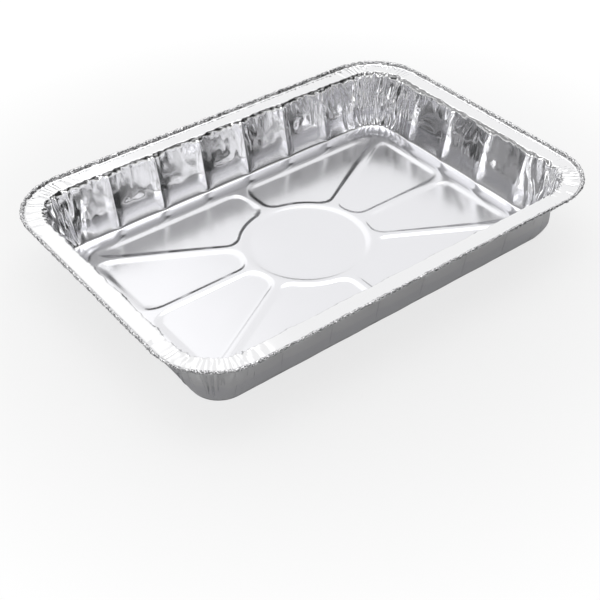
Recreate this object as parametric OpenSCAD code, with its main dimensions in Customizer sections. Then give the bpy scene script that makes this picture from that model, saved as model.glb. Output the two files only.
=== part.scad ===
// Aluminium foil tray: a rectangular drip pan pressed from one sheet of foil.
// Its walls are ribbed along the sides and gathered at the corners, its flange
// ends in a rolled bead, and its floor is stiffened by a ridge, a ring and eight
// spokes. Millimetres, +Z up. The tray stands on z = 0, with the origin under
// the middle of its floor, and its long side lies along X.

/* [Opening] */
// Length of the opening, between the inner edges of the flange
opening_l = 200; // [170:1:320]
// Width of the opening, between the inner edges of the flange
opening_w = 136; // [125:1:240]
// Corner radius of the opening
opening_r = 19; // [16:0.5:26]
// Height of the flange over the table
flange_z = 28; // [22:0.5:45]
// Gauge of the foil
gauge = 0.12; // [0.08:0.01:0.25]

/* [Rim] */
// Width of the flat flange
flange_w = 7; // [5:0.5:14]
// Width of the bead, from its foot on the flange to the tray's outer edge
bead_w = 2.5; // [2.5:0.1:4]
// Height of the bead over the flange
bead_h = 1.9; // [1.6:0.1:3]
// Radius of the roll along the bead's edge
roll_r = 1; // [0.7:0.05:1.2]
// How far the edge of the foil is rolled round, in degrees
bead_roll = 300; // [240:5:310]
// Height of the lip under the flange
lip_h = 1.4; // [0.8:0.1:3]
// How far the lip leans out on its way up to the flange
lip_w = 1.1; // [0.3:0.1:1.5]

/* [Wall] */
// Lean of the wall from the upright, in degrees
draft = 9; // [5:0.5:14]
// Height of the smooth curved band at the foot of the wall
band_h = 9.5; // [6:0.5:12]
// Lean of the band at its top, where a crease parts it from the wall, in degrees
band_lean = 5; // [2:1:12]
// Lean of the band at its foot, in degrees
foot_lean = 30; // [24:1:45]
// Distance between two upright ribs
rib_pitch = 24.3; // [18:0.1:32]
// Width of a rib
rib_w = 9; // [5:0.5:10]
// How far a rib stands out into the tray at its top
rib_top = 0.6; // [0.2:0.1:1.2]
// How far the foil bulges out between two ribs, as a share of a rib's depth
bulge = 0.35; // [0:0.05:0.5]

/* [Corner gathers] */
// Folds of foil in each corner
gathers = 7; // [4:1:7]
// How far a fold stands in or out of the wall
gather_h = 0.55; // [0.2:0.05:0.8]
// How far a fold lifts or sinks the flange
pucker_h = 0.2; // [0.05:0.05:0.4]
// Seed of the irregular height of the folds
fold_seed = 11; // [1:1:99]

/* [Floor] */
// Width of the flat gutter round the floor
gutter_w = 4.5; // [2:0.5:8]
// Width of the ridge inside the gutter
ridge_w = 7.2; // [5:0.2:9]
// Width of the flat top of the ridge
ridge_top = 1.6; // [0.8:0.1:3]
// Corner radius of the ridge at its outer foot
ridge_r = 14; // [11:0.5:20]
// Radius of the ring round the plain middle, at its top
ring_r = 29; // [20:0.5:36]
// Width of the ring and of each spoke
spoke_w = 5.4; // [4:0.2:7]
// Width of the flat top of the ring and of each spoke
spoke_top = 1.2; // [0.6:0.1:2]
// Height of the ridge, the ring and the spokes
emboss_h = 0.65; // [0.5:0.05:1.6]
// Radius of the rounded corners of the eight panels
panel_r = 4; // [2:0.5:6]

/* [Hidden] */
tiny = 0.0001;
// Segments of the roll along the bead's edge
bead_steps = 8;
// How far down the band's arc its middle row lies
band_middle = 0.55;
// How much of its height an embossed edge keeps where a panel's corner is rounded
corner_fill = 0.5;
// Places of a panel's columns, as shares of its width at the ridge
panel_shares = [0.1, 0.3, 0.5, 0.7, 0.9];
// At the ring the columns keep this share of that spread
ring_spread = 0.7;

half = [opening_l, opening_w] / 2;
// Half lengths of the straight sides, from the middle to where a corner starts
run = half - [opening_r, opening_r];

wall_top = flange_z - lip_h;
band_r = (band_h - gauge) / (sin(foot_lean) - sin(band_lean));
band_top_in = lip_w + (wall_top - band_h) * tan(draft);
foot_in = band_top_in + band_r * (cos(band_lean) - cos(foot_lean));

// The bead rises from its foot in a straight slant, which meets the roll as a tangent
bead_foot = [flange_w, flange_z];
roll_mid = bead_foot + [bead_w - roll_r, bead_h - roll_r];
roll_start = atan2(roll_mid.y - bead_foot.y, roll_mid.x - bead_foot.x) + 180
    - acos(roll_r / norm(roll_mid - bead_foot));

// Where the band's inner face is, at an angle of lean from the upright
function band_at(lean) = [
    -band_top_in - band_r * (cos(band_lean) - cos(lean)),
    band_h - band_r * (sin(lean) - sin(band_lean))
];

// How far a rib's crest stands out from a place on the wall. The crest runs
// straight from the foot to the lip.
function rib_depth(at) =
    at.x + mix(foot_in, lip_w + rib_top, (at.y - gauge) / (wall_top - gauge));

function wall_row(at, fold) = [at, rib_depth(at), fold, 0];

// The section of wall and rim, from the foot to the rolled edge. Each row has its
// distance out from the opening, its height, the height of the ribs, and how much
// of the corner folds and of the pucker shows there.
section = [
    wall_row(band_at(foot_lean), 0),
    wall_row(band_at(mix(band_lean, foot_lean, band_middle)), 0.55),
    wall_row(band_at(band_lean), 0.9),
    wall_row([-lip_w, wall_top], 1),
    [[0, flange_z], 0, 0.45, 0.7],
    [bead_foot, 0, 0.2, 0.8],
    for (k = [0:bead_steps])
        let (a = roll_start - bead_roll * k / bead_steps)
            [roll_mid + roll_r * along(a), 0, 0.3, 0.6]
];
rows = len(section);

function unit(v) = v / norm(v);
function left_of(v) = [-v.y, v.x];
function mix(a, b, f) = a + (b - a) * f;

function along(a) = [cos(a), sin(a)];

// Direction of the section from row i to row i + 1. Before the foot it is the gutter's.
function heading(i) = i < 0 ? [1, 0] : unit(section[min(i, rows - 2) + 1][0] - section[min(i, rows - 2)][0]);

// The hidden face of the foil lies one gauge behind the face that shows
function behind(i) =
    let (
        n0 = left_of(heading(i - 1)),
        n1 = left_of(heading(i)),
        n = unit(n0 + n1)
    )
    section[i][0] - gauge / (n * n1) * n;

// Stations round the wall: how far along the straight runs, the outward angle,
// and how much rib and corner fold there is.
function ribs_on(h) = floor((h - rib_w / 2 - 1) / rib_pitch + 0.5);

function side_marks(h) =
    let (
        n = ribs_on(h),
        last = (n - 0.5) * rib_pitch + rib_w / 2
    )
    [
        [-(h + last) / 2, -bulge / 2],
        for (i = [-n:n - 1])
            let (c = (i + 0.5) * rib_pitch)
                each [
                    [c - rib_w / 2, 0],
                    [c, 1],
                    [c + rib_w / 2, 0],
                    if (i < n - 1) [(i + 1) * rib_pitch, -bulge]
                ],
        [(h + last) / 2, -bulge / 2]
    ];

function turned(v, q) = q == 0 ? v : turned(left_of(v), q - 1);

function side(q) =
    let (h = run[1 - q % 2])
    [for (m = side_marks(h)) [turned([1, m[0] / h], q), 90 * q, m[1], 0]];

fold_heights = rands(0.55, 1, 8 * gathers, fold_seed);

function corner(q) = [
    for (j = [0:2 * gathers])
        let (
            inside = j > 0 && j < 2 * gathers,
            way = j % 2 == 0 ? 1 : -1,
            tall = fold_heights[2 * gathers * q + min(j, 2 * gathers - 1)]
        )
        [turned([1, 1], q), 90 * q + 45 * j / gathers, 0, inside ? way * tall : 0]
];

all_stations = [for (q = [0:3]) each concat(side(q), corner(q))];
count = len(all_stations);
// The loop starts at the middle of the first side, as the floor's does
first = 4 * ribs_on(run.y);
stations = [for (i = [0:count - 1]) all_stations[(i + first) % count]];

// Point of the wall at a station, for a row of the section and a place out and up
function wall_point(s, row, at) =
    let (
        r = opening_r + at.x - row[1] * s[2] + gather_h * row[2] * s[3]
    )
    [
        s[0].x * run.x + r * cos(s[1]),
        s[0].y * run.y + r * sin(s[1]),
        at.y + pucker_h * row[3] * s[3]
    ];

// Distance from a point q along the direction d to a rounded rectangle of half size h
function reach(q, d, h, r) =
    let (
        tx = abs(d.x) < tiny ? opening_l : (h.x * sign(d.x) - q.x) / d.x,
        ty = abs(d.y) < tiny ? opening_l : (h.y * sign(d.y) - q.y) / d.y,
        p = q + min(tx, ty) * d,
        c = [sign(p.x) * (h.x - r), sign(p.y) * (h.y - r)],
        k = (q - c) * d
    )
    abs(p.x) > h.x - r && abs(p.y) > h.y - r
        ? sqrt(k * k - (q - c) * (q - c) + r * r) - k
        : min(tx, ty);

// Half size of the floor's outline, in by a distance from the ridge's outer foot
function ridge_half(d) = half - (foot_in + gutter_w + d) * [1, 1];

ring_out = ring_r + spoke_w / 2;
panel_half = ridge_half(ridge_w);
panel_corner = ridge_r - ridge_w;
// The slanted spokes aim at the middles of the ridge's rounded corners
slant = atan2(panel_half.y - panel_corner, panel_half.x - panel_corner);
spoke_angles = [0, slant, 90, 180 - slant, 180, 180 + slant, 270, 360 - slant, 360];

// Angles, at the ring and at the ridge, of a line beside a spoke's axis
function beside(a, e) = [
    a + asin(e / ring_out),
    a + atan2(e, reach(e * left_of(along(a)), along(a), panel_half, panel_corner))
];

// Columns of the floor, from ring to ridge: two angles, whether the column is on a
// spoke's top, and whether it is at a spoke's foot.
columns = [
    for (k = [0:7])
        let (
            a = spoke_angles[k],
            b = spoke_angles[k + 1],
            foot_a = beside(a, spoke_w / 2),
            foot_b = beside(b, -spoke_w / 2)
        )
        each [
            [beside(a, spoke_top / 2), 1, 0],
            [foot_a, 0, 1],
            for (f = panel_shares)
                let (g = mix(0.5, f, ring_spread))
                    [[mix(foot_a[0], foot_b[0], g), mix(foot_a[1], foot_b[1], f)], 0, 0],
            [foot_b, 0, 1],
            [beside(b, -spoke_top / 2), 1, 0]
        ]
];
floor_count = len(columns);

function ring_at(c, d, up) = concat((ring_r + d) * along(c[0][0]), up);
function ridge_at(c, d, up) =
    let (v = along(c[0][1]))
    concat(reach([0, 0], v, ridge_half(d), ridge_r - d) * v, up);

// Ends of a column's way across a panel, on the ring's foot and on the ridge's foot
function ends(c) = [ring_at(c, spoke_w / 2, 0), ridge_at(c, ridge_w, 0)];
// Point one corner radius along that way, from its first end or from its last
function from_ring(p) = p[0] + panel_r * unit(p[1] - p[0]);
function from_ridge(p) = p[1] - panel_r * unit(p[1] - p[0]);

function edge_up(c) = max(c[1], corner_fill * c[2]);

// Rows of the floor from the middle outwards, each point with its share of the emboss
floor_rows = [
    [for (c = columns) ring_at(c, -spoke_w / 2, 0)],
    [for (c = columns) ring_at(c, -spoke_top / 2, 1)],
    [for (c = columns) ring_at(c, spoke_top / 2, 1)],
    [for (c = columns) ring_at(c, spoke_w / 2, edge_up(c))],
    [for (c = columns) from_ring(ends(c)) + [0, 0, c[1]]],
    [for (c = columns) from_ridge(ends(c)) + [0, 0, c[1]]],
    [for (c = columns) ridge_at(c, ridge_w, edge_up(c))],
    [for (c = columns) ridge_at(c, (ridge_w + ridge_top) / 2, 1)],
    [for (c = columns) ridge_at(c, (ridge_w - ridge_top) / 2, 1)],
    [for (c = columns) ridge_at(c, 0, 0)]
];

function floor_face(base) = [
    for (row = floor_rows, p = row) [p.x, p.y, base + p.z * emboss_h]
];

// Both faces of the foil, one after the other, as lists of points
upper = concat(
    [[0, 0, gauge]],
    floor_face(gauge),
    [for (i = [0:rows - 1], s = stations) wall_point(s, section[i], section[i][0])]
);
lower = concat(
    [[0, 0, 0]],
    floor_face(0),
    [for (i = [0:rows - 1], s = stations) wall_point(s, section[i], behind(i))]
);
face_size = len(upper);
wall_start = 1 + len(floor_rows) * floor_count;

// Triangles between two rows of n points
function strip(a, b, n) = [
    for (i = [0:n - 1])
        let (j = (i + 1) % n)
            each [[a + i, a + j, b + j], [a + i, b + j, b + i]]
];

function heading_of(p) = (atan2(p.y, p.x) + 360) % 360;
// Headings of the middles of the edges of a loop of n points
function edge_headings(start, n) = [
    for (i = [0:n - 1])
        i == n - 1 ? (heading_of(upper[start + i]) + 360) / 2
            : (heading_of(upper[start + i]) + heading_of(upper[start + i + 1])) / 2
];
function passed(list, v) = len([for (x = list) if (x < v) x]);

// Triangles that join a loop of n points to an outer loop of m points
function join(a, n, b, m) =
    let (
        inner = edge_headings(a, n),
        outer = edge_headings(b, m)
    )
    concat(
        [for (i = [0:n - 1]) [a + i, a + (i + 1) % n, b + passed(outer, inner[i]) % m]],
        [for (j = [0:m - 1]) [a + passed(inner, outer[j]) % n, b + (j + 1) % m, b + j]]
    );

one_face = concat(
    [for (i = [0:floor_count - 1]) [0, 1 + (i + 1) % floor_count, 1 + i]],
    [for (r = [0:len(floor_rows) - 2])
        each strip(1 + r * floor_count, 1 + (r + 1) * floor_count, floor_count)],
    join(wall_start - floor_count, floor_count, wall_start, count),
    [for (r = [0:rows - 2]) each strip(wall_start + r * count, wall_start + (r + 1) * count, count)]
);
rim_start = wall_start + (rows - 1) * count;

module foil_tray() {
    color("silver")
        polyhedron(
            points = concat(upper, lower),
            faces = concat(
                one_face,
                [for (t = one_face) [t[2], t[1], t[0]] + face_size * [1, 1, 1]],
                strip(rim_start, rim_start + face_size, count)
            )
        );
}

foil_tray();
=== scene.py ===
"""Aluminium foil tray, dressed as one pressed sheet of bright foil.

The sheet is worked out in millimetres as closed loops of points, from the middle of the
floor out to the rolled edge of the rim, and is then given its gauge and turned to metres.
"""
import logging
import math
from dataclasses import dataclass, field
from enum import Enum

import bpy
import numpy as np
from mathutils import Matrix, Vector


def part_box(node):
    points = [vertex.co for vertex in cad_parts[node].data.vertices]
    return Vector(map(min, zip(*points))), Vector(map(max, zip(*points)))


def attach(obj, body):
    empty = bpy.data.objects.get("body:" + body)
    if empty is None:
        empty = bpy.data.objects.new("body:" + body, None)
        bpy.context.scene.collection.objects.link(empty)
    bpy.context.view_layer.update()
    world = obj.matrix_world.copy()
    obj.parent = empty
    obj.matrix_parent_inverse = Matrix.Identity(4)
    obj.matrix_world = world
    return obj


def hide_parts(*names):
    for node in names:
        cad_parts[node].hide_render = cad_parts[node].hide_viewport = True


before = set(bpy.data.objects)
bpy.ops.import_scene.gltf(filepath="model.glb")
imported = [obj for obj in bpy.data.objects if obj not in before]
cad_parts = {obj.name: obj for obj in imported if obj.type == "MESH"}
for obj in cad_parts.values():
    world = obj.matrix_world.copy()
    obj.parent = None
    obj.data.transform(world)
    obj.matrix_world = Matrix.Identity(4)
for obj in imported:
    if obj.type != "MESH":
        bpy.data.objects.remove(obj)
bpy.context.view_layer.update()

LOG = logging.getLogger("foil_tray")
MM = 0.001
TURN = 2.0 * math.pi
QUARTER = math.pi / 2.0
NODE = "foil_tray"
Array = np.ndarray
Ends = tuple[float, float]
Object = bpy.types.Object
Socket = bpy.types.NodeSocket
Tree = bpy.types.NodeTree


def smooth_step(low: float, high: float, value: Array | float) -> Array | float:
    """Rises smoothly from 0 where a value is low to 1 where it is high."""
    share = np.clip((value - low) / (high - low), 0.0, 1.0)
    return share * share * (3.0 - 2.0 * share)


def zigzag(phase: Array) -> Array:
    """A wave of straight flanks from -1 to 1, with one crest at each whole phase."""
    return 1.0 - 4.0 * np.abs(phase - np.round(phase))


def turned(x: float, y: float, angle: float) -> tuple[float, float]:
    """The point turned about the origin by an angle in radians."""
    return x * math.cos(angle) - y * math.sin(angle), x * math.sin(angle) + y * math.cos(angle)


def pressed_edge(share: Array, round_end: float = 0.12) -> Array:
    """Height of a pressed edge across its flank: a straight slope with rounded ends."""
    left = share - 1.0
    return (share + np.hypot(share, round_end) - (left + np.hypot(left, round_end))) / 2.0


@dataclass(frozen=True)
class Grain:
    """One layer of crumple: its cells, its place in the noise, its mean and its swing."""

    width: float
    height: float = 1.0
    layer: float = 0.0
    mean: float = 0.0
    swing: float = 1.0


class Crumple:
    """Seeded gradient noise in space, for dents and creases that no press repeats."""

    CELLS = 32
    SCALE = 1.6

    def __init__(self, seed: int) -> None:
        """Draws one random direction for each corner of the noise's cells."""
        way = np.random.default_rng(seed).normal(size=(self.CELLS, self.CELLS, self.CELLS, 3))
        self.ways = way / np.linalg.norm(way, axis=3, keepdims=True)

    def at(self, x: Array, y: Array, z: Array | float) -> Array:
        """Smooth noise between about -1 and 1.

        Args:
            x: Places along X, in cells.
            y: Places along Y, in cells.
            z: Places along Z, in cells.

        Returns:
            The noise at each place.
        """
        x, y, z = np.broadcast_arrays(x, y, z)
        place = np.stack([x, y, z], axis=-1).astype(float)
        base = np.floor(place).astype(int)
        inside = place - base
        fade = inside**3 * (inside * (inside * 6.0 - 15.0) + 10.0)
        total = np.zeros(x.shape)
        for corner in np.ndindex(2, 2, 2):
            index = (base + corner) % self.CELLS
            way = self.ways[index[..., 0], index[..., 1], index[..., 2]]
            share = np.prod(np.where(corner, fade, 1.0 - fade), axis=-1)
            total += share * np.sum(way * (inside - corner), axis=-1)
        return self.SCALE * total

    def of(self, grain: Grain, x: Array, y: Array, up: float = 0.0) -> Array:
        """The noise of one grain, between its mean less its swing and its mean plus its swing."""
        noise = self.at(x / grain.width, y / grain.width, up / grain.height + grain.layer)
        return grain.mean + grain.swing * noise


@dataclass(frozen=True)
class Outline:
    """A rectangle with rounded corners about the origin, in millimetres."""

    half_x: float
    half_y: float
    radius: float

    def grown(self, by: float) -> "Outline":
        """The outline one distance further out, with its corners still concentric."""
        return Outline(self.half_x + by, self.half_y + by, self.radius + by)

    def past(self, x: Array, y: Array) -> Array:
        """How far points lie past the centres of the corners, along X and along Y."""
        centre = self.grown(-self.radius)
        return np.stack([np.abs(x) - centre.half_x, np.abs(y) - centre.half_y])

    def distance(self, x: Array, y: Array) -> Array:
        """Distance of points from the outline, less than zero inside it."""
        past = self.past(x, y)
        return np.hypot(*np.maximum(past, 0.0)) + np.minimum(past.max(axis=0), 0.0) - self.radius

    def normal(self, x: Array, y: Array) -> Array:
        """Outward direction of the outline at points on it, along X and along Y."""
        past = np.maximum(self.past(x, y), 0.0) * np.sign([x, y])
        return past / np.maximum(np.hypot(*past), 1e-9)

    def crossing(self, start: Array, way: Array) -> Array:
        """Where rays from inside cross the outline, found by halving.

        Args:
            start: Start of each ray, as rows of x and y.
            way: Unit direction of each ray.

        Returns:
            The crossing of each ray, as rows of x and y.
        """
        halvings = 48
        near = np.zeros(len(start))
        far = np.full(len(start), 2.0 * (self.half_x + self.half_y))
        for _ in range(halvings):
            middle = (near + far) / 2.0
            point = start + middle[:, None] * way
            inside = self.distance(point[:, 0], point[:, 1]) < 0.0
            near = np.where(inside, middle, near)
            far = np.where(inside, far, middle)
        return start + near[:, None] * way


@dataclass
class PressedFloor:
    """Floor: a plain disc in a ring, eight spokes, eight panels and a ridge round them."""

    ridge_outline: Outline
    gauge: float
    ring_r: float = 29.0
    spoke_w: float = 5.4
    spoke_flank: float = 1.7
    disc_flank: float = 2.6
    ridge_w: float = 7.2
    ridge_flank: float = 2.8
    emboss_h: float = 0.65
    panel_r: float = 4.5
    panel_columns: int = 10
    wave: Grain = Grain(16.0, layer=0.5)
    wave_h: float = 0.05
    wave_edge: float = 12.0
    crumple: Crumple = field(default_factory=lambda: Crumple(5))

    def __post_init__(self) -> None:
        """Works out the panels' outline, the ring's feet and the directions of the spokes."""
        self.panel_outline = self.ridge_outline.grown(-self.ridge_w)
        self.ring_in = self.ring_r - self.spoke_w / 2.0
        self.ring_out = self.ring_r + self.spoke_w / 2.0
        centre = self.panel_outline.grown(-self.panel_outline.radius)
        slant = math.atan2(centre.half_y, centre.half_x)
        self.spokes = [
            0.0, slant, QUARTER, math.pi - slant,
            math.pi, math.pi + slant, 3.0 * QUARTER, TURN - slant, TURN,
        ]

    def columns(self) -> Array:
        """Columns of the floor from the ring's outer foot to the ridge's inner foot.

        Returns:
            The starts and the ends of the columns, each as rows of x and y.
        """
        beside = [0.0, 0.5, 1.0, 1.6, 2.2, 2.7, 3.4, 4.3]
        made = []
        for angle, after in zip(self.spokes[:-1], self.spokes[1:]):
            first = [self.column_beside(angle, offset) for offset in beside]
            last = [self.column_beside(after, -offset) for offset in beside[:0:-1]]
            made += first + self.columns_between(first[-1], last[0]) + last
        return np.array(made).transpose(1, 0, 2)

    def column_beside(self, angle: float, offset: float) -> tuple[Array, Array]:
        """Start and end of a column that runs at an offset to the left of a spoke's axis."""
        start = np.array([turned(math.sqrt(self.ring_out**2 - offset**2), offset, angle)])
        return start[0], self.panel_outline.crossing(start, np.array([turned(1.0, 0.0, angle)]))[0]

    def columns_between(self, first: tuple, last: tuple) -> list[tuple[Array, Array]]:
        """Columns that fan out evenly across a panel.

        Args:
            first: Start and end of the column on one side of the panel.
            last: Start and end of the column on its other side.

        Returns:
            Start and end points of each column.
        """
        made = []
        for share in np.arange(1, self.panel_columns + 1) / (self.panel_columns + 1):
            headings = []
            for one, other in zip(first, last):
                begin = math.atan2(one[1], one[0])
                span = (math.atan2(other[1], other[0]) - begin) % TURN
                headings.append(begin + share * span)
            start = self.ring_out * np.array([math.cos(headings[0]), math.sin(headings[0])])
            way = np.array([[math.cos(headings[1]), math.sin(headings[1])]])
            made.append((start, self.panel_outline.crossing(np.zeros((1, 2)), way)[0]))
        return made

    def height(self, x: Array, y: Array) -> Array:
        """Height of the embossed floor's upper face.

        Args:
            x: Places along X.
            y: Places along Y.

        Returns:
            The height over the table at each place.
        """
        away = np.hypot(x, y)
        heading = np.arctan2(y, x) % TURN
        rounding = self.panel_r / self.spoke_flank
        from_ring = (away - self.ring_out) / self.spoke_flank
        from_ridge = -self.panel_outline.distance(x, y) / self.ridge_flank
        panel = np.full(x.shape, -rounding)
        for begin, end in zip(self.spokes[:-1], self.spokes[1:]):
            from_begin = self.beside_spoke(x, y, begin)
            from_end = self.beside_spoke(x, -y, -end)
            sides = (from_ring, from_ridge, from_begin, from_end)
            near = [np.maximum(rounding - side, 0.0) for side in sides]
            inner = rounding - np.sqrt(sum(d * d for d in near))
            panel = np.where((heading >= begin) & (heading <= end), inner, panel)
        disc = (self.ring_in - away) / self.disc_flank
        from_wall = self.ridge_outline.distance(x, y)
        flat = np.maximum(np.maximum(disc, panel), from_wall / self.ridge_flank)
        raised = 1.0 - pressed_edge(flat + 1.0)
        calm = smooth_step(0.0, -self.wave_edge, from_wall)
        lift = self.wave_h * (1.0 + self.crumple.of(self.wave, x, y)) * calm
        return self.gauge + self.emboss_h * raised + lift

    def beside_spoke(self, x: Array, y: Array, angle: float) -> Array:
        """Distance to the left of a spoke's edge, in widths of its flank."""
        across = y * math.cos(angle) - x * math.sin(angle)
        return (across - self.spoke_w / 2.0) / self.spoke_flank

    def loops(self) -> list[Array]:
        """Loops of the floor from the middle out to the gutter.

        Returns:
            The loops, each as rows of x, y and z.
        """
        disc_loops = ((2.5, 16), (6.0, 32), (10.0, 64), (14.5, 64), (19.0, 128), (23.0, 128))
        ring_steps = (-1.2, -0.2, 0.5, 1.1, 1.7, 2.7, 3.7, 4.3, 4.9)
        panel_shares = (0.0, 0.018, 0.04, 0.07, 0.11, 0.18, 0.27, 0.37, 0.48,
                        0.59, 0.7, 0.79, 0.86, 0.91, 0.945, 0.97, 0.988, 1.0)
        ridge_steps = (0.5, 1.1, 1.8, 2.5, 3.6, 4.7, 5.4, 6.1, 6.7, 7.2, 8.2)
        starts, ends = self.columns()
        aim = starts / np.linalg.norm(starts, axis=1, keepdims=True)
        outward = self.panel_outline.normal(ends[:, 0], ends[:, 1]).T
        flat = []
        for radius, count in disc_loops:
            angles = np.arange(count) * TURN / count
            flat.append((radius * np.cos(angles), radius * np.sin(angles)))
        flat += [tuple(((self.ring_in + step) * aim).T) for step in ring_steps]
        flat += [tuple((starts + share * (ends - starts)).T) for share in panel_shares]
        flat += [tuple((ends + step * outward).T) for step in ridge_steps]
        return [np.stack([x, y, self.height(x, y)], axis=1) for x, y in flat]


@dataclass
class Stations:
    """Places round the opening at which the wall and the rim are drawn.

    Each has its corner's centre or its place on a run, its outward angle, its distance
    along the opening, and how much rib, bulge, gather and crease it has.
    """

    base_x: Array
    base_y: Array
    angle: Array
    arc: Array
    rib: Array
    bulge: Array
    gather: Array
    crease: Array

    def place(self, radius: Array | float) -> tuple[Array, Array]:
        """Where the stations are at a distance out from their corner centres and runs."""
        return self.base_x + radius * np.cos(self.angle), self.base_y + radius * np.sin(self.angle)

    def loop(self, radius: Array | float, up: Array | float) -> Array:
        """Rows of x, y and z at a distance out and a height."""
        return np.stack([*self.place(radius), np.broadcast_to(up, self.angle.shape)], axis=1)


@dataclass
class Walk:
    """The way round the opening: four straight runs and four rounded corners."""

    opening: Outline
    rib_pitch: float = 24.3
    rib_w: float = 9.0
    rib_clear: float = 1.0
    rib_sharpness: float = 1.6
    bulge_end: float = 6.0
    gather_reach: float = 12.0
    run_clear: float = 0.3
    end_pitch: float = 0.8
    crease_pitch: float = 1.7
    creases: int = 18
    crease_steps: int = 4
    crease_gather: float = 0.7
    crease_jitter: float = 0.9
    jitter_apart: tuple[float, float, float] = (0.73, 5.3, 0.5)
    crumple: Crumple = field(default_factory=lambda: Crumple(3))

    def half_run(self, side: int) -> float:
        """Half length of a straight side, from its middle to where a corner starts."""
        half = self.opening.half_y if side % 2 == 0 else self.opening.half_x
        return half - self.opening.radius

    def rib_count(self, side: int) -> int:
        """Ribs on each half of a side."""
        room = self.half_run(side) - self.rib_w / 2.0 - self.rib_clear
        return math.floor(room / self.rib_pitch + 0.5)

    def side_marks(self, side: int) -> Array:
        """Places along a side that crowd together on the crests of its ribs.

        Args:
            side: Number of the side.

        Returns:
            The distance of each place from the side's middle.
        """
        steps = np.array([0.35, 1.0, 1.8, 2.7, 3.6, 4.5, 5.6, 6.8, 8.0, 9.3, 10.7])
        offsets = np.concatenate([-steps[::-1], [0.0], steps, [self.rib_pitch / 2.0]])
        ribs = self.rib_count(side)
        marks = [-ribs * self.rib_pitch]
        for rib in range(-ribs, ribs):
            marks.extend((rib + 0.5) * self.rib_pitch + offsets)
        end = self.half_run(side) - self.run_clear
        ends = np.arange(marks[-1] + self.end_pitch, end, self.end_pitch)
        return np.concatenate([-ends[::-1], marks, ends])

    def even_marks(self, side: int, pitch: float) -> Array:
        """Distances from a side's middle at one even pitch."""
        count = round(2.0 * self.half_run(side) / pitch)
        return (np.arange(1, count) / count - 0.5) * 2.0 * self.half_run(side)

    def corner_step(self, step: int, side: int) -> tuple[float, float]:
        """How far round a corner a step is, and how much crease it has.

        Each crease's jitter is read from the noise, jitter_apart cells from the last one's.

        Args:
            step: Step round the corner.
            side: Side after which the corner comes.

        Returns:
            The share of the corner, and 1 on a crease or 0 beside it.
        """
        count = self.crease_steps * self.creases
        if step % self.crease_steps == self.crease_steps // 2 or step in (0, count):
            return step / count, 0.0
        crease = (step + 1) // self.crease_steps
        middle = self.crease_steps * crease
        along, across, layer = self.jitter_apart
        wander = float(self.crumple.at(crease * along, side * across, layer))
        jitter = self.crease_jitter * wander if 0 < crease < self.creases else 0.0
        place = middle + self.crease_gather * (step - middle) + jitter
        return place / count, float(step == middle)

    def stations(self, even_pitch: float | None = None) -> Stations:
        """Places the stations of a loop.

        Args:
            even_pitch: Pitch on the straight sides. With none, the stations crowd
                together on the ribs' crests.

        Returns:
            The stations.
        """
        end_pitch = even_pitch or self.end_pitch
        every = round(self.crease_pitch / end_pitch)
        rows = []
        arc = 0.0
        for side in range(4):
            half = self.half_run(side)
            ahead = self.half_run(side + 1)
            angle = side * QUARTER
            marks = self.even_marks(side, even_pitch) if even_pitch else self.side_marks(side)
            for mark in marks:
                to_end = half - abs(mark)
                gather = smooth_step(self.gather_reach, 0.0, to_end)
                crease = round(to_end / end_pitch) % every == 1
                place = turned(ahead, mark, angle)
                far = arc + half + mark
                rows.append((*place, angle, far, *self.rib_at(mark, side), gather, crease))
            arc += 2.0 * half
            corner = turned(ahead, half, angle)
            for step in range(self.crease_steps * self.creases + 1):
                share, crease = self.corner_step(step, side)
                turn = QUARTER * share
                far = arc + self.opening.radius * turn
                rows.append((*corner, angle + turn, far, 0.0, 0.0, 1.0, crease))
            arc += self.opening.radius * QUARTER
        return Stations(*np.array(rows, float).T)

    def rib_at(self, mark: float, side: int) -> tuple[float, float]:
        """How much rib, and how much bulge between ribs, a place on a side has.

        Args:
            mark: Distance of the place from the side's middle.
            side: Number of the side.

        Returns:
            The rib and the bulge, each from 0 to 1.
        """
        reach = self.rib_count(side) * self.rib_pitch
        if abs(mark) > reach:
            return 0.0, 0.0
        across = abs(mark - (math.floor(mark / self.rib_pitch) + 0.5) * self.rib_pitch)
        rib = max(0.0, 1.0 - across / (self.rib_w / 2.0)) ** self.rib_sharpness
        past = max(0.0, across - self.rib_w / 2.0)
        bulge = math.sin(math.pi * past / (self.rib_pitch - self.rib_w))
        return rib, bulge * smooth_step(reach, reach - self.bulge_end, abs(mark))


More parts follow.
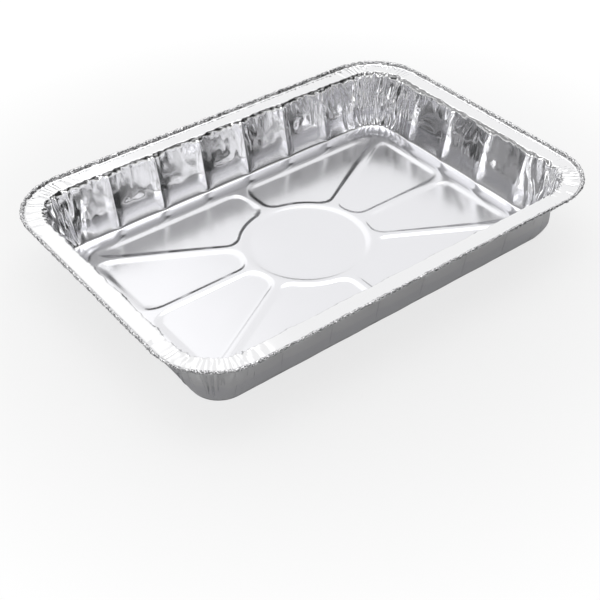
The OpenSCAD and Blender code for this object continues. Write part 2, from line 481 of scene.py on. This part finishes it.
@dataclass
class RibbedWall:
    """Wall: a smooth curved band at the foot, upright ribs, dents, and gathers at the corners."""

    opening: Outline
    gauge: float
    wall_top: float = 26.6
    lip_w: float = 1.1
    draft: float = math.radians(9.0)
    band_h: float = 9.5
    band_lean: float = math.radians(5.0)
    foot_lean: float = math.radians(30.0)
    band_rows: int = 9
    wall_rows: int = 12
    gutter_edge: float = 0.7
    rib_top: float = 0.6
    bulge_h: float = 0.42
    bulge_on_band: float = 0.3
    dents_on_band: float = 0.1
    dents_on_rib: float = 0.4
    dent_h: float = 0.5
    dent_level: float = 0.35
    fine_dent_h: float = 0.18
    fine_dent_level: float = 0.3
    tuck_h: float = 0.4
    tuck_pitch: float = 2.7
    tuck_reach: float = 9.0
    gather_h: float = 1.4
    gather_limit: float = 1.3
    gather_pitch: float = 4.4
    split_pitch: float = 2.5
    split_share: float = 0.8
    tuck_wander: float = 0.9
    fold_wander: float = 0.35
    split_wander: float = 0.5
    wander: Grain = Grain(14.0, 14.0)
    fine_wander: Grain = Grain(5.0, 20.0, swing=0.5)
    dent: Grain = Grain(8.0, 34.0)
    fine_dent: Grain = Grain(4.5, 11.0, 7.0)
    tuck_depth: Grain = Grain(5.0, 9.0, 3.3, 0.5, 0.9)
    drift: Grain = Grain(11.0, 45.0, 2.0, swing=1.6)
    fold_depth: Grain = Grain(5.0, 15.0, 5.0, 0.7, 0.9)
    crush: Grain = Grain(2.1, 6.0, 9.0, swing=0.45)
    crumple: Crumple = field(default_factory=lambda: Crumple(23))

    def __post_init__(self) -> None:
        """Works out the band's arc and where its foot is."""
        rise = math.sin(self.foot_lean) - math.sin(self.band_lean)
        self.band_r = (self.band_h - self.gauge) / rise
        self.band_top_in = self.lip_w + (self.wall_top - self.band_h) * math.tan(self.draft)
        run = math.cos(self.band_lean) - math.cos(self.foot_lean)
        self.foot_in = self.band_top_in + self.band_r * run

    def section(self) -> list[tuple[float, float]]:
        """Rows of the wall from foot to lip.

        Returns:
            Distance out from the opening and height of each row.
        """
        lean = np.linspace(self.foot_lean, self.band_lean, self.band_rows)
        out = -self.band_top_in - self.band_r * (math.cos(self.band_lean) - np.cos(lean))
        up = self.band_h - self.band_r * (np.sin(lean) - math.sin(self.band_lean))
        high_up = np.linspace(self.band_h, self.wall_top, self.wall_rows + 1)[1:]
        high_out = -self.lip_w - (self.wall_top - high_up) * math.tan(self.draft)
        return [*zip(out, up), *zip(high_out, high_up)]

    def rib_depth(self, out: float, up: float) -> float:
        """How far a rib's crest, straight from foot to lip, stands out from the plain section."""
        share = (up - self.gauge) / (self.wall_top - self.gauge)
        return out + self.foot_in + (self.lip_w + self.rib_top - self.foot_in) * share

    def push(self, at: Stations, out: float, up: float) -> Array:
        """How far the foil stands out from its plain section at a height.

        Args:
            at: The stations.
            out: Distance of the row out from the opening.
            up: Height of the row.

        Returns:
            The push outwards at each station.
        """
        noise = self.crumple
        x, y = at.place(self.opening.radius)
        wander = noise.of(self.wander, x, y, up) + noise.of(self.fine_wander, x, y, up)
        rise = 1.0 - (1.0 - min(1.0, up / self.band_h)) ** 2
        above = smooth_step(self.band_h - 1.0, self.band_h + 3.0, up)
        high = self.dents_on_band * rise + (1.0 - self.dents_on_band) * above
        dent = np.abs(noise.of(self.dent, x + self.dent.width * wander, y, up))
        fine = np.abs(noise.of(self.fine_dent, x, y + self.fine_dent.width * wander, up))
        dents = self.dent_h * (self.dent_level - dent)
        dents += self.fine_dent_h * (self.fine_dent_level - fine)
        dents *= 1.0 - (1.0 - self.dents_on_rib) * at.rib
        tuck = zigzag(at.arc / self.tuck_pitch + self.tuck_wander * wander)
        tuck = tuck * noise.of(self.tuck_depth, x, y, up)
        top = smooth_step(self.wall_top - self.tuck_reach, self.wall_top, up)
        folds = self.folds(at, up, wander) + noise.of(self.crush, x, y, up)
        return (
            -self.rib_depth(out, up) * at.rib
            + self.bulge_h * at.bulge * (self.bulge_on_band + (1.0 - self.bulge_on_band) * high)
            + (1.0 - at.gather) * (high * dents + top * self.tuck_h * tuck)
            + at.gather * folds * rise
        )

    def folds(self, at: Stations, up: float, wander: Array) -> Array:
        """Upright folds of the corners, which drift, split in places and are never too steep.

        Args:
            at: The stations.
            up: Height of the row.
            wander: How far the folds stray from upright.

        Returns:
            The push outwards at each station.
        """
        x, y = at.place(self.opening.radius)
        drift = self.crumple.of(self.drift, x, y, up)
        fold = zigzag(at.arc / self.gather_pitch + drift + self.fold_wander * wander)
        split = zigzag(at.arc / self.split_pitch + drift + self.split_wander * wander)
        depth = self.gather_h * self.crumple.of(self.fold_depth, x, y, up)
        steep = (fold + self.split_share * wander * split) * depth
        return self.gather_limit * np.tanh(steep / self.gather_limit)

    def loops(self, at: Stations) -> list[Array]:
        """Loops of the wall from the gutter's edge up to the lip.

        Args:
            at: The stations.

        Returns:
            The loops, each as rows of x, y and z.
        """
        made = [at.loop(self.opening.radius - self.foot_in - self.gutter_edge, self.gauge)]
        for out, up in self.section():
            made.append(at.loop(self.opening.radius + out + self.push(at, out, up), up))
        return made


@dataclass
class RolledRim:
    """Rim: a leaning lip, a flat flange and a rolled, crinkled bead."""

    opening: Outline
    wall: RibbedWall
    flange_z: float = 28.0
    flange_w: float = 7.0
    bead_w: float = 2.48
    bead_h: float = 1.88
    bead_r: float = 1.0
    bead_roll: float = math.radians(300.0)
    bead_rows: int = 8
    pucker_h: float = 0.6
    swell: float = 0.25
    swell_wander: float = 0.8
    notch_h: float = 0.6
    notch_drop: float = 0.25
    crinkle_h: float = 0.7
    crinkle_gain: float = 2.2
    pucker_wander: Grain = Grain(9.0)
    pucker_depth: Grain = Grain(2.5, 1.0 / 0.8, 3.0, 0.4, 1.2)
    wave: Grain = Grain(14.0, layer=8.0, swing=0.03)
    notch: Grain = Grain(1.9, layer=1.0)
    wide_notch: Grain = Grain(4.0, layer=4.0, swing=0.6)
    crinkle: Grain = Grain(1.1, 1.0 / 0.8)
    fine_crinkle: Grain = Grain(1.1 / 1.7, 1.0 / 1.3, 6.0, swing=0.6)
    crinkle_depth: Grain = Grain(6.0, layer=9.0, mean=0.65, swing=0.5)
    crumple: Crumple = field(default_factory=lambda: Crumple(41))

    def pucker(self, at: Stations, share: float) -> Array:
        """Lift of the flange by its folds.

        Args:
            at: The stations.
            share: How far across the flange, from 0 to 1.

        Returns:
            The lift at each station.
        """
        noise = self.crumple
        x, y = at.place(self.opening.radius)
        wander = noise.of(self.pucker_wander, x, y, share)
        depth = np.clip(noise.of(self.pucker_depth, x, y, share), 0.0, 1.0)
        swell = zigzag(at.arc / self.wall.gather_pitch + self.swell_wander * wander)
        folds = self.pucker_h * at.gather * (self.swell * swell - at.crease * depth)
        return folds + noise.of(self.wave, x, y)

    def crinkles(self, at: Stations, along: float) -> Array:
        """Depth of the sharp crinkles that the rolling leaves in the bead.

        Args:
            at: The stations.
            along: How far round the roll, in its own steps.

        Returns:
            The depth at each station.
        """
        noise = self.crumple
        x, y = at.place(self.opening.radius)
        wide = np.abs(noise.of(self.crinkle, x, y, along))
        fine = np.abs(noise.of(self.fine_crinkle, x, y, along))
        loose = noise.of(self.crinkle_depth, x, y)
        return self.crinkle_h * np.clip(self.crinkle_gain * (wide + fine) * loose, 0.0, 1.0)

    def flange_loops(self, at: Stations) -> list[Array]:
        """Loops of the lip and the flange.

        Args:
            at: The stations.

        Returns:
            The loops, each as rows of x, y and z.
        """
        r = self.opening.radius
        x, y = at.place(r)
        top = self.wall.wall_top
        fold = self.wall.push(at, -self.wall.lip_w, top)
        notch = self.crumple.of(self.notch, x, y) + self.crumple.of(self.wide_notch, x, y)
        made = []
        for share in (0.3, 0.65, 0.92):
            out = -self.wall.lip_w * (1.0 - share)
            push = (1.0 - 0.7 * share) * fold + self.notch_h * math.sin(math.pi * share) * notch
            up = top + (self.flange_z - top) * share
            made.append(at.loop(r + out + push, up - self.notch_drop * share * notch))
        # The lip turns into the flange in one soft step, still with a little of its folds.
        edge = r + 0.15 + 0.25 * fold + 0.1 * notch
        made.append(at.loop(edge, self.flange_z - 0.03 + 0.5 * self.pucker(at, 0.0)))
        for out in (0.5, 1.5, 3.0, 4.5, 6.0):
            made.append(at.loop(r + out, self.flange_z + self.pucker(at, out / self.flange_w)))
        return made

    def bead_loops(self, at: Stations) -> list[Array]:
        """Loops of the bead, from the flange round to the foil's edge.

        Args:
            at: The stations.

        Returns:
            The loops, each as rows of x, y and z.
        """
        r = self.opening.radius
        side = self.bead_w - self.bead_r
        above = self.bead_h - self.bead_r
        middle_out = self.flange_w + side
        middle_up = self.flange_z + above
        # The bead's inner face runs straight from the flange to where it meets the roll.
        start = math.atan2(above, side) + math.pi - math.acos(self.bead_r / math.hypot(above, side))
        face_out = middle_out + self.bead_r * math.cos(start)
        face_up = middle_up + self.bead_r * math.sin(start)
        calmed = self.pucker(at, 0.95)
        made = [
            at.loop(r + self.flange_w - 0.5, self.flange_z + 0.7 * calmed),
            at.loop(r + self.flange_w, self.flange_z + 0.4 * calmed),
        ]
        for share in (0.35, 0.7):
            out = self.flange_w + share * (face_out - self.flange_w)
            up = self.flange_z + share * (face_up - self.flange_z)
            push = share * self.crinkles(at, share)
            made.append(at.loop(r + out + push, up - 0.5 * push))
        for row in range(self.bead_rows + 1):
            turn = row / self.bead_rows
            angle = start - self.bead_roll * turn
            bead_r = self.bead_r - self.crinkles(at, 1.0 + 5.0 * turn)
            out = middle_out + bead_r * math.cos(angle)
            made.append(at.loop(r + out, middle_up + bead_r * math.sin(angle)))
        return made


class SheetMesh:
    """A closed sheet of one gauge, drawn between closed loops of points."""

    def __init__(self, middle: Array, loops: list[Array]) -> None:
        """Joins the loops into the face that shows.

        Args:
            middle: Point inside the first loop.
            loops: Loops from the middle to the edge, turning left, in millimetres.
        """
        self.points = np.concatenate([middle[None, :]] + loops)
        starts = np.cumsum([1] + [len(loop) for loop in loops])
        self.rim = np.arange(starts[-2], starts[-1])
        first = 1 + np.arange(len(loops[0]))
        parts = [np.stack([np.zeros_like(first), first, np.roll(first, -1)], axis=1)]
        for inner, outer, begin, outside in zip(loops[:-1], loops[1:], starts[:-2], starts[1:-1]):
            if len(inner) == len(outer):
                parts.append(self.strip(begin, outside, len(inner)))
            else:
                parts.append(self.stitch(inner, outer, begin, outside))
        self.faces = np.concatenate(parts)

    @staticmethod
    def strip(begin: int, outside: int, count: int) -> Array:
        """Triangles between two loops of as many points, from the index at which each begins."""
        here, after = np.arange(count), np.roll(np.arange(count), -1)
        return np.concatenate([np.stack(corners, axis=1) for corners in (
            (begin + here, outside + here, outside + after),
            (begin + here, outside + after, begin + after),
        )])

    @staticmethod
    def stitch(inner: Array, outer: Array, begin: int, outside: int) -> Array:
        """Triangles between two loops of different numbers of points, by their headings.

        Args:
            inner: Points of the inner loop.
            outer: Points of the outer loop.
            begin: Index of the inner loop's first point.
            outside: Index of the outer loop's first point.

        Returns:
            The triangles, as rows of point indices.
        """
        found = []
        for loop in (inner, outer):
            heading = np.unwrap(np.arctan2(loop[:, 1], loop[:, 0]))
            found.append(np.append(heading, heading[0] + TURN))
        inside, around = found
        around = around + TURN * round((inside[0] - around[0]) / TURN)
        i = 0
        j = 0
        made = []
        while i < len(inner) or j < len(outer):
            here = begin + i % len(inner)
            there = outside + j % len(outer)
            go_inner = j == len(outer) or (i < len(inner) and inside[i + 1] < around[j + 1])
            if go_inner:
                made.append((here, there, begin + (i + 1) % len(inner)))
                i += 1
            else:
                made.append((here, there, outside + (j + 1) % len(outer)))
                j += 1
        return np.array(made)

    def normals(self) -> Array:
        """Unit normals of the face that shows, weighted by area.

        Returns:
            One normal for each point, as rows of x, y and z.
        """
        a, b, c = (self.points[self.faces[:, k]] for k in range(3))
        across = np.cross(b - a, c - a)
        total = np.zeros_like(self.points)
        for k in range(3):
            np.add.at(total, self.faces[:, k], across)
        return total / np.linalg.norm(total, axis=1, keepdims=True)

    def build(self, name: str, gauge: float) -> Object:
        """Makes the closed sheet. Nothing of it dips under the table, at zero height.

        Args:
            name: Name of the piece.
            gauge: Thickness of the foil, in millimetres.

        Returns:
            The new object, in metres.
        """
        hidden = self.points - gauge * self.normals()
        hidden[:, 2] = np.maximum(hidden[:, 2], 0.0)
        count = len(self.points)
        edge = self.rim
        after = np.roll(edge, -1)
        closing = [
            np.stack([edge, edge + count, after + count], axis=1),
            np.stack([edge, after + count, after], axis=1),
        ]
        faces = np.concatenate([self.faces, self.faces[:, ::-1] + count] + closing)
        points = np.concatenate([self.points, hidden]) * MM
        mesh = bpy.data.meshes.new(name)
        mesh.from_pydata(points.tolist(), [], faces.tolist())
        mesh.polygons.foreach_set("use_smooth", np.ones(len(faces), bool))
        mesh.validate()
        mesh.update()
        return add_object(name, mesh)


def add_object(name: str, data: bpy.types.ID) -> Object:
    """Adds an object to the scene.

    Args:
        name: Name of the object.
        data: Its mesh, lamp or camera.

    Returns:
        The new object.
    """
    made = bpy.data.objects.new(name, data)
    bpy.context.scene.collection.objects.link(made)
    return made


def linear(code: str) -> tuple[float, float, float, float]:
    """Turns an sRGB hex colour such as #E9E9EB to linear values with full alpha."""
    parts = [int(code[k:k + 2], 16) / 255.0 for k in (1, 3, 5)]
    return *(c / 12.92 if c <= 0.04045 else ((c + 0.055) / 1.055) ** 2.4 for c in parts), 1.0


def add_node(tree: Tree, kind: str, links: dict, **settings: object) -> bpy.types.Node:
    """Adds a node with its settings and links.

    Args:
        tree: The node tree.
        kind: The node's type name.
        links: For each input, by name or place, the socket that feeds it or its value.
        settings: Properties of the node itself.

    Returns:
        The new node.
    """
    node = tree.nodes.new(kind)
    for name, value in settings.items():
        setattr(node, name, value)
    for name, value in links.items():
        if isinstance(value, Socket):
            tree.links.new(value, node.inputs[name])
        else:
            node.inputs[name].default_value = value
    return node


def ramp(value: Socket, span: Ends, low: object, high: object, kind: str = "SMOOTHSTEP") -> Socket:
    """Adds a node that leads from low to high over a span of a value, level beyond it."""
    return add_node(value.id_data, "ShaderNodeMapRange", {
        "Value": value, "From Min": span[0], "From Max": span[1], "To Min": low, "To Max": high,
    }, interpolation_type=kind).outputs["Result"]


def combine(operation: str, *values: object) -> Socket:
    """Adds a node that adds or multiplies values, the last of which is a socket."""
    links = dict(enumerate(values))
    return add_node(values[-1].id_data, "ShaderNodeMath", links, operation=operation).outputs[0]


@dataclass(frozen=True)
class BrightFoil:
    """Bright rolled aluminium foil, the plain household alloy, as it leaves the mill.

    The polished rolls leave a mirror of bare metal, and their grinding leaves faint
    lines along the roll. To the eye it is nearly white where it faces the light and
    nearly black where it faces away, with reflections slightly drawn out.
    """

    name: str = "bright rolled aluminium foil"
    colour: str = "#F4F4F5"
    # Base colour of the floor and of the band at the walls' foot: painted shade, a little darker
    # and bluer than the foil.
    floor_colour: str = "#EEEEF1"
    press_top_mm: float = 8.6
    press_fade_mm: float = 1.2
    roughness: float = 0.07
    floor_roughness: float = 0.18
    roughness_change: float = 0.02
    line_pitch_mm: float = 0.35
    line_stretch: float = 0.02
    line_depth_mm: float = 0.004
    cloud_mm: float = 22.0
    cloud_span: Ends = (0.3, 0.7)
    rim_top_mm: float = 28.3
    rim_fade_mm: float = 0.4
    # Colour of the painted shade in the bead's crinkles, mixed into its base colour by noise.
    crinkle_shade_colour: str = "#808083"
    crinkle_mm: float = 0.6
    crinkle_shade_span: Ends = (0.40, 0.56)
    crinkle_depth_mm: float = 0.3

    def make(self) -> bpy.types.Material:
        """Makes the material.

        Returns:
            The new material.
        """
        made = bpy.data.materials.new(self.name)
        made.use_nodes = True
        tree = made.node_tree
        shader = tree.nodes["Principled BSDF"]
        shader.inputs["Metallic"].default_value = 1.0
        place = add_node(tree, "ShaderNodeTexCoord", {}).outputs["Object"]
        height = add_node(tree, "ShaderNodeSeparateXYZ", {0: place}).outputs["Z"]
        # The press leaves the floor and the band at the walls' foot a little rougher than
        # the foil above them. There the base colour is also a little darker and bluer: painted
        # shade for the dimmer reflections of the floor.
        press = (self.press_top_mm * MM, (self.press_top_mm + self.press_fade_mm) * MM)
        rough_and_shaded = ramp(height, press, 1.0, 0.0, "LINEAR")
        tone = add_node(tree, "ShaderNodeMix", {
            0: rough_and_shaded, "A": linear(self.colour), "B": linear(self.floor_colour),
        }, data_type="RGBA").outputs["Result"]
        base = ramp(rough_and_shaded, (0.0, 1.0), self.roughness, self.floor_roughness, "LINEAR")
        cloud = self.noise(tree, place, self.cloud_mm, 3.0)
        change = self.roughness_change
        spread = ramp(cloud, self.cloud_span, -change, change, "LINEAR")
        tree.links.new(combine("ADD", base, spread), shader.inputs["Roughness"])
        # The real roll lines are some hundredths of a millimetre apart; these are as
        # coarse as they need to be to show.
        drawn = add_node(tree, "ShaderNodeMapping", {
            "Vector": place, "Scale": (self.line_stretch, 1.0, 1.0),
        }).outputs["Vector"]
        bump = add_node(tree, "ShaderNodeBump", {
            "Height": self.noise(tree, drawn, self.line_pitch_mm, 2.0),
            "Strength": 1.0, "Distance": self.line_depth_mm * MM,
        }).outputs["Normal"]
        # The rolling crinkles the bead more finely than its mesh does. A bump gives these fine
        # crinkles, and the same noise darkens the bead's base colour as painted shade, where
        # its folds shade each other.
        rim = (self.rim_top_mm * MM, (self.rim_top_mm + self.rim_fade_mm) * MM)
        on_bead = ramp(height, rim, 0.0, 1.0, "LINEAR")
        crinkle = self.noise(tree, place, self.crinkle_mm, 1.0)
        shaded = ramp(crinkle, self.crinkle_shade_span, on_bead, 0.0, "LINEAR")
        tone = add_node(tree, "ShaderNodeMix", {
            0: shaded, "A": tone, "B": linear(self.crinkle_shade_colour),
        }, data_type="RGBA").outputs["Result"]
        tree.links.new(tone, shader.inputs["Base Color"])
        crinkled = add_node(tree, "ShaderNodeBump", {
            "Height": crinkle, "Strength": on_bead, "Distance": self.crinkle_depth_mm * MM,
            "Normal": bump,
        })
        tree.links.new(crinkled.outputs["Normal"], shader.inputs["Normal"])
        return made

    @staticmethod
    def noise(tree: Tree, place: Socket, size_mm: float, detail: float) -> Socket:
        """Adds a noise whose marks have a real size."""
        links = {"Vector": place, "Scale": 1.0 / (size_mm * MM), "Detail": detail}
        return add_node(tree, "ShaderNodeTexNoise", links).outputs["Fac"]


@dataclass
class FoilTray:
    """The whole tray, one sheet of foil from the middle of the floor to the rolled edge."""

    gauge: float = 0.12
    opening_r: float = 19.0
    gutter_w: float = 4.5
    ridge_r: float = 14.0
    bead_pitch: float = 0.6
    finish: BrightFoil = BrightFoil()

    def __post_init__(self) -> None:
        """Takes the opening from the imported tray's box and lays out the sub-assemblies."""
        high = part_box(NODE)[1] / MM
        rim_w = RolledRim.flange_w + RolledRim.bead_w
        opening = Outline(round(high.x - rim_w, 1), round(high.y - rim_w, 1), self.opening_r)
        self.walk = Walk(opening)
        self.wall = RibbedWall(opening, self.gauge)
        gutter_in = self.wall.foot_in + self.gutter_w
        ridge = Outline(opening.half_x - gutter_in, opening.half_y - gutter_in, self.ridge_r)
        self.floor = PressedFloor(ridge, self.gauge)
        self.rim = RolledRim(opening, self.wall)

    def build(self) -> Object:
        """Builds and dresses the tray.

        Returns:
            The new piece.
        """
        at_wall = self.walk.stations()
        at_bead = self.walk.stations(self.bead_pitch)
        middle = np.array([0.0, 0.0, self.floor.height(np.zeros(1), np.zeros(1))[0]])
        loops = self.floor.loops() + self.wall.loops(at_wall)
        loops += self.rim.flange_loops(at_wall) + self.rim.bead_loops(at_bead)
        piece = SheetMesh(middle, loops).build("tray_foil_sheet", self.gauge)
        piece.data.materials.append(self.finish.make())
        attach(piece, "root")
        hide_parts(NODE)
        return piece


@dataclass(frozen=True)
class PhotoCamera:
    """The camera of the photograph: where it stands and how it is turned."""

    lens: float = 67.16
    sensor: float = 36.0
    near: float = 0.01
    place_mm: tuple[float, float, float] = (-247.3, -321.2, 301.5)
    yaw: float = math.radians(37.10)
    pitch: float = math.radians(39.58)
    roll: float = math.radians(0.86)

    def make(self) -> Object:
        """Makes the camera and sets it as the scene's.

        Returns:
            The camera.
        """
        forward = Vector((
            math.sin(self.yaw) * math.cos(self.pitch),
            math.cos(self.yaw) * math.cos(self.pitch),
            -math.sin(self.pitch),
        ))
        level = Vector((math.cos(self.yaw), -math.sin(self.yaw), 0.0))
        down = forward.cross(level)
        right = math.cos(self.roll) * level + math.sin(self.roll) * down
        up = math.sin(self.roll) * level - math.cos(self.roll) * down
        data = bpy.data.cameras.new("photo_camera")
        data.lens = self.lens
        data.sensor_width = self.sensor
        data.clip_start = self.near
        made = add_object("photo_camera", data)
        turn = Matrix((right, up, -forward)).transposed().to_4x4()
        made.matrix_world = Matrix.Translation(Vector(self.place_mm) * MM) @ turn
        bpy.context.scene.camera = made
        return made


class SoftLamp(Enum):
    """The studio's square soft lamps: place and side in metres, and power in watts."""

    ABOVE = ((0.1, 0.15, 1.3), 1.0, 3.1)
    FRONT = ((-0.21, -1.18, 0.42), 0.6, 1.7)
    LEFT = ((-1.2, 0.1, 0.36), 0.5, 1.2)

    def make(self) -> Object:
        """Makes the lamp, aimed at the tray.

        Returns:
            The lamp.
        """
        place, side, power = self.value
        data = bpy.data.lights.new(f"softbox_{self.name.lower()}", "AREA")
        data.shape = "SQUARE"
        data.size = side
        data.energy = power
        made = add_object(data.name, data)
        place = Vector(place)
        turn = place.to_track_quat("Z", "Y").to_matrix().to_4x4()
        made.matrix_world = Matrix.Translation(place) @ turn
        return made


@dataclass(frozen=True)
class Glow:
    """A soft patch of sky round one direction, with cosines of its edge and of its full part."""

    towards: tuple[float, float, float]
    span: Ends
    light: float

    def over(self, way: Socket, beside: object) -> Socket:
        """Adds the patch to a sky, which is given by its direction and the light beside it."""
        near = add_node(way.id_data, "ShaderNodeVectorMath", {
            0: way, 1: self.towards,
        }, operation="DOT_PRODUCT")
        return ramp(near.outputs["Value"], self.span, beside, self.light)


def direction(heading: float, height: float) -> tuple[float, float, float]:
    """Unit direction at a heading and a height over the horizon, in degrees."""
    turn, rise = math.radians(heading), math.radians(height)
    return math.cos(rise) * math.cos(turn), math.cos(rise) * math.sin(turn), math.sin(rise)


@dataclass(frozen=True)
class SoftSky:
    """The room that the foil mirrors, which the camera itself sees as plain white.

    Low down it is dark, with a soft light on the left, one in front and one along the
    horizon. Overhead it is grey, with a large white patch and a faint one behind. Each
    span says over which heights, or places to the right, a part of it fades in.
    """

    white: float = 1.0
    dark: float = 0.03
    left: Glow = Glow((-0.94, 0.34, 0.0), (0.3, 0.9), 0.34)
    front: Glow = Glow((0.0, -1.0, 0.0), (0.68, 0.95), 0.32)
    front_span: Ends = (0.58, 0.46)
    horizon: float = 0.5
    horizon_span: Ends = (0.24, 0.12)
    horizon_right: Ends = (0.75, 0.2)
    grey: float = 0.5
    grey_left: float = 0.42
    grey_right: Ends = (0.7, -0.5)
    overhead_span: Ends = (0.53, 0.79)
    panel: Glow = Glow(direction(53.0, 45.0), (0.56, 0.79), 0.96)
    behind: Glow = Glow((-0.062, 0.704, 0.707), (0.86, 0.91), 0.2)

    def make(self) -> None:
        """Makes the world."""
        world = bpy.data.worlds.new("studio")
        bpy.context.scene.world = world
        world.use_nodes = True
        tree = world.node_tree
        tree.nodes.clear()
        way = add_node(tree, "ShaderNodeTexCoord", {}).outputs["Generated"]
        part = add_node(tree, "ShaderNodeSeparateXYZ", {0: way}).outputs
        front_low = ramp(part["Z"], self.front_span, 0.0, 1.0)
        front = combine("MULTIPLY", self.front.over(way, 0.0), front_low)
        near_horizon = ramp(part["Z"], self.horizon_span, 0.0, self.horizon)
        horizon = combine("MULTIPLY", near_horizon, ramp(part["X"], self.horizon_right, 0.0, 1.0))
        low = combine("ADD", self.left.over(way, self.dark), front)
        low = combine("ADD", low, horizon)
        high = ramp(part["X"], self.grey_right, self.grey, self.grey_left)
        room = ramp(part["Z"], self.overhead_span, low, high)
        light = combine("ADD", self.panel.over(way, room), self.behind.over(way, 0.0))
        seen = add_node(tree, "ShaderNodeLightPath", {}).outputs["Is Camera Ray"]
        strength = add_node(tree, "ShaderNodeMix", {
            0: seen, 2: light, 3: self.white,
        }, data_type="FLOAT")
        sky = add_node(tree, "ShaderNodeBackground", {
            "Color": (1.0, 1.0, 1.0, 1.0), "Strength": strength.outputs[0],
        })
        add_node(tree, "ShaderNodeOutputWorld", {"Surface": sky.outputs[0]})


@dataclass(frozen=True)
class Studio:
    """A plain pale floor under a soft sky, with three large soft lamps."""

    floor_colour: str = "#CFCFCF"
    floor_side: float = 6.0
    floor_gap_mm: float = 0.05
    paper_white: float = 1.06
    paper_span: Ends = (0.08, 0.30)
    paper_least: float = 0.70
    paper_gleam: float = 0.05
    sky: SoftSky = SoftSky()

    def make_floor(self) -> Object:
        """Makes the floor.

        Returns:
            The floor.
        """
        half = self.floor_side / 2.0
        under = -self.floor_gap_mm * MM
        mesh = bpy.data.meshes.new("studio_floor")
        sides = ((-half, -half), (half, -half), (half, half), (-half, half))
        mesh.from_pydata([(x, y, under) for x, y in sides], [], [(0, 1, 2, 3)])
        made = add_object("studio_floor", mesh)
        made.data.materials.append(self.floor_paint())
        return made

    def floor_paint(self) -> bpy.types.Material:
        """Matt white paper, lifted for the camera so that it meets the white background.

        Returns:
            The new material.
        """
        made = bpy.data.materials.new("matt white paper")
        made.use_nodes = True
        tree = made.node_tree
        tree.nodes.clear()
        paper = add_node(tree, "ShaderNodeBsdfDiffuse", {"Color": linear(self.floor_colour)})
        glow = add_node(tree, "ShaderNodeEmission", {
            "Color": (1.0, 1.0, 1.0, 1.0), "Strength": self.paper_white,
        })
        ray = add_node(tree, "ShaderNodeLightPath", {}).outputs
        place = add_node(tree, "ShaderNodeTexCoord", {}).outputs["Object"]
        away = add_node(tree, "ShaderNodeVectorMath", {0: place}, operation="LENGTH")
        lifted = ramp(away.outputs["Value"], self.paper_span, self.paper_least, 1.0)
        seen = combine("MULTIPLY", ray["Is Camera Ray"], lifted)
        share = combine("MULTIPLY_ADD", ray["Is Glossy Ray"], self.paper_gleam, seen)
        mixed = add_node(tree, "ShaderNodeMixShader", {
            0: share, 1: paper.outputs[0], 2: glow.outputs[0],
        })
        add_node(tree, "ShaderNodeOutputMaterial", {"Surface": mixed.outputs[0]})
        return made

    def build(self) -> None:
        """Builds the floor, the sky and the lamps."""
        self.make_floor()
        self.sky.make()
        for lamp in SoftLamp:
            lamp.make()
        bpy.context.scene.view_settings.view_transform = "Standard"


def report_piece(piece: Object) -> None:
    """Logs a piece's name, size and number of triangles."""
    size = [round(s / MM, 2) for s in piece.dimensions]
    LOG.info("%s: %s mm, %d triangles", piece.name, size, len(piece.data.polygons))


def main() -> None:
    """Builds the camera, the tray and the studio, in that order."""
    logging.basicConfig(level=logging.INFO, format="%(name)s %(message)s")
    PhotoCamera().make()
    report_piece(FoilTray().build())
    Studio().build()


if __name__ == "__main__":
    main()
